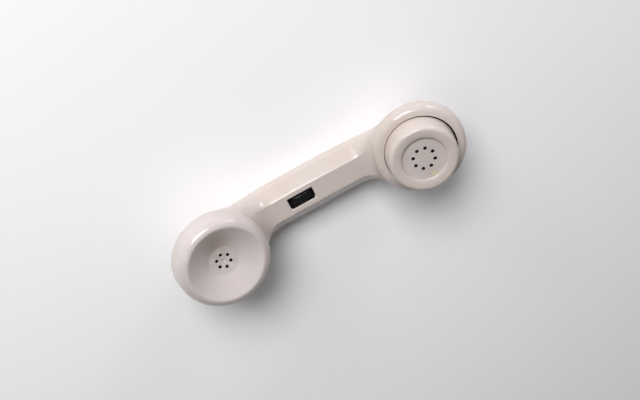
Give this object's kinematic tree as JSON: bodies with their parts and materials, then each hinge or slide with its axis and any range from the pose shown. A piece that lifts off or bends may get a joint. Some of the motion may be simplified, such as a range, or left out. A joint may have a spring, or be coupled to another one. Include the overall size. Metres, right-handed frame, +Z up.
{
  "type": "telephone handset",
  "caption": "Classic moulded telephone handset with a bowl-shaped earpiece, a raised round mouthpiece, a faceted grip and a thumbwheel volume control, lying on its back.",
  "frame": {"origin": "on the surface that the handset's back rests on, under the middle of its bounding box", "axes": "+X along the grip from the earpiece to the mouthpiece, +Z up, the way both heads face"},
  "size_m": [0.2064, 0.0624, 0.062],
  "materials": {
    "moulded_plastic": "polished pinkish ivory",
    "face_plastic": "satin warm grey",
    "black_plastic": "satin black",
    "phenolic": "dark brown",
    "circuit_board": "green lacquer",
    "component_body": "moulded or dipped",
    "capacitor_sleeve": "shrunk blue sleeve",
    "varistor_body": "dipped",
    "pot_case": "satin grey",
    "plated_steel": "zinc plated",
    "magnet": "ground grey",
    "copper_winding": "enamelled copper wire",
    "brass": "plain",
    "screen_cloth": "fine black cloth",
    "boot_rubber": "matt black",
    "film": "thin pale film",
    "red_insulation": "wire insulation",
    "white_insulation": "wire insulation",
    "black_insulation": "wire insulation",
    "yellow_insulation": "wire insulation",
    "green_insulation": "wire insulation"
  },
  "bodies": {
    "handset": {"handle": "moulded_plastic", "receiver_cap": "moulded_plastic", "receiver_screen": "screen_cloth", "receiver_grid": "plated_steel", "receiver_case": "plated_steel", "receiver_diaphragm": "phenolic", "receiver_armature": "plated_steel", "receiver_pole_ring": "plated_steel", "receiver_magnet": "magnet", "receiver_coil": "copper_winding", "receiver_terminal_plate": "phenolic", "receiver_terminal_screw_1": "brass", "receiver_terminal_screw_2": "brass", "receiver_varistor": "varistor_body", "receiver_lead_1": "red_insulation", "receiver_lead_2": "white_insulation", "transmitter_ring": "moulded_plastic", "transmitter_housing": "moulded_plastic", "transmitter_face": "face_plastic", "transmitter_screen": "screen_cloth", "microphone_boot": "boot_rubber", "microphone_case": "plated_steel", "microphone_backplate": "plated_steel", "microphone_diaphragm": "film", "transmitter_board": "circuit_board", "contact_ring_1": "brass", "contact_ring_2": "brass", "contact_spring_1": "brass", "contact_spring_2": "brass", "cup_screw_1": "brass", "cup_screw_2": "brass", "transmitter_cup": "black_plastic", "transmitter_lead_1": "black_insulation", "transmitter_lead_2": "yellow_insulation", "volume_potentiometer": "pot_case", "control_chassis": "black_plastic", "amplifier_board": "circuit_board", "amplifier_chip": "black_plastic", "board_screw_1": "plated_steel", "board_screw_2": "plated_steel", "capacitor_1": "capacitor_sleeve", "capacitor_2": "capacitor_sleeve", "resistor_1": "component_body", "resistor_2": "component_body", "jack_housing": "black_plastic", "jack_contact_1": "brass", "jack_contact_2": "brass", "jack_contact_3": "brass", "jack_contact_4": "brass", "jack_lead_1": "red_insulation", "jack_lead_2": "green_insulation", "jack_lead_3": "black_insulation", "jack_lead_4": "yellow_insulation"},
    "volume_control": {"volume_wheel": "black_plastic", "volume_shaft": "plated_steel"}
  },
  "joints": [
    {"name": "volume_turn", "type": "hinge", "parent": "handset", "child": "volume_control", "pos_m": [-0.0088, 0, 0.01405], "axis": [0, 1, 0], "range_deg": [-135, 135]}
  ]
}
